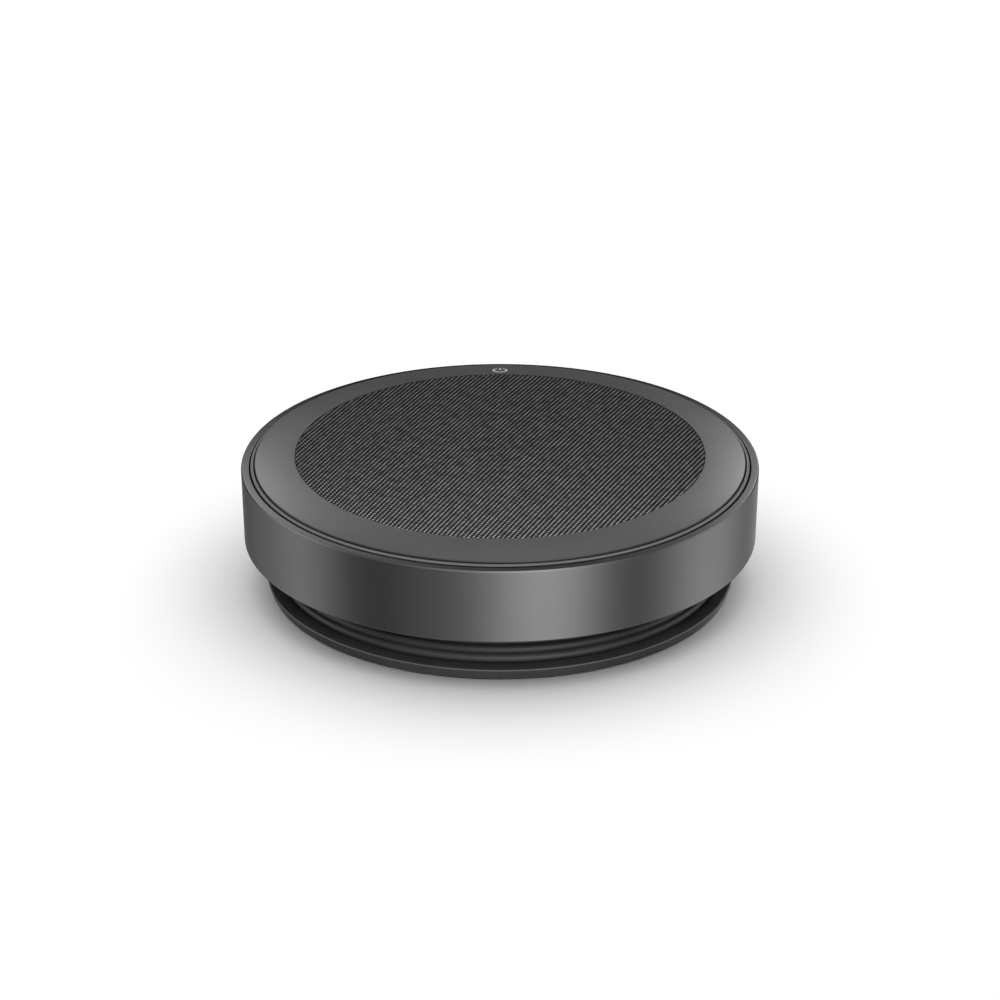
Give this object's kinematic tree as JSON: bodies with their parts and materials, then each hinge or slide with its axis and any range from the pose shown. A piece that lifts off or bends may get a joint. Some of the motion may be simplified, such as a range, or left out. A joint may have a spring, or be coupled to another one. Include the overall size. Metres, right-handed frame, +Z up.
{
  "type": "conference speakerphone",
  "caption": "Round portable conference speakerphone with a fabric grille, a touch ring, a satin metal band and a USB cable wound on its neck.",
  "frame": {"origin": "centre of the face it rests on, at the bottom of the rubber foot", "axes": "+Z up along the axis of the puck; +Y to the back, where the power symbol is; +X to the right"},
  "size_m": [0.1324, 0.1325, 0.0365],
  "materials": {
    "satin_metal": "satin anodised, dark silver",
    "light_diffuser": "translucent, fine matt",
    "touch_plastic": "satin moulded, dark grey",
    "power_mark": "translucent light grey",
    "sensor_film": "amber flexible film",
    "grille_cloth": "fine twill weave, dark grey",
    "inner_plastic": "moulded, black",
    "shell_plastic": "moulded, fine spark texture, black",
    "seal_rubber": "plain black",
    "foot_plastic": "satin moulded, dark grey",
    "foot_rubber": "matt black",
    "screw_steel": "zinc plated",
    "circuit_board": "solder mask, green",
    "can_steel": "tin plated",
    "header_nylon": "natural nylon",
    "antenna_ceramic": "glazed",
    "battery_foil": "laminated foil",
    "basket_steel": "black paint",
    "seal_foam": "closed-cell foam",
    "surround_rubber": "smooth black",
    "cone_paper": "pressed pulp, black",
    "coil_copper": "enamelled winding",
    "spider_cloth": "resin-set cloth",
    "motor_iron": "zinc plated",
    "ferrite": "ground, dark grey",
    "cable_jacket": "satin black",
    "plug_grip": "satin moulded, black",
    "cradle_plastic": "moulded, black"
  },
  "bodies": {
    "housing": {"battery_pack": "battery_foil", "battery_tray": "inner_plastic", "cable_gland": "cable_jacket", "cable_header": "header_nylon", "cable_tail": "cable_jacket", "chamber_seal": "seal_foam", "chassis_screw_1": "screw_steel", "chassis_screw_2": "screw_steel", "chassis_screw_3": "screw_steel", "chassis_screw_4": "screw_steel", "foot_plate": "foot_plastic", "foot_screw_1": "screw_steel", "foot_screw_2": "screw_steel", "foot_screw_3": "screw_steel", "foot_screw_4": "screw_steel", "grille_fabric": "grille_cloth", "grille_plate": "inner_plastic", "led_board": "circuit_board", "light_ring": "light_diffuser", "lower_shell": "shell_plastic", "magnet": "ferrite", "magnet_top_plate": "motor_iron", "main_pcb": "circuit_board", "mic_gasket_1": "seal_rubber", "mic_gasket_2": "seal_rubber", "mic_gasket_3": "seal_rubber", "mic_gasket_4": "seal_rubber", "microphone_1": "can_steel", "microphone_2": "can_steel", "microphone_3": "can_steel", "microphone_4": "can_steel", "outer_band": "satin_metal", "plug_cradle": "cradle_plastic", "power_icon": "power_mark", "radio_antenna": "antenna_ceramic", "rubber_foot": "foot_rubber", "shell_seal": "seal_rubber", "shield_can": "can_steel", "speaker_basket": "basket_steel", "speaker_chamber": "inner_plastic", "speaker_gasket": "seal_foam", "speaker_screw_1": "screw_steel", "speaker_screw_2": "screw_steel", "speaker_screw_3": "screw_steel", "speaker_screw_4": "screw_steel", "speaker_spider": "spider_cloth", "speaker_surround": "surround_rubber", "touch_ring": "touch_plastic", "touch_sensor": "sensor_film", "upper_chassis": "inner_plastic", "usb_cable": "cable_jacket", "yoke": "motor_iron"},
    "diaphragm": {"speaker_cone": "cone_paper", "dust_cap": "cone_paper", "voice_coil": "coil_copper"},
    "plug": {"plug_body": "plug_grip", "plug_shell": "can_steel"}
  },
  "joints": [
    {"name": "cone_travel", "type": "slide", "parent": "housing", "child": "diaphragm", "axis": [0, 0, 1], "range_m": [-0.0025, 0.0025], "stiffness_N_per_m": 1500, "deforming": ["speaker_surround", "speaker_spider"]},
    {"name": "plug_pull", "type": "slide", "parent": "housing", "child": "plug", "axis": [0.342, 0.9397, 0], "range_m": [0, 0.012], "deforming": ["cable_tail"]}
  ]
}
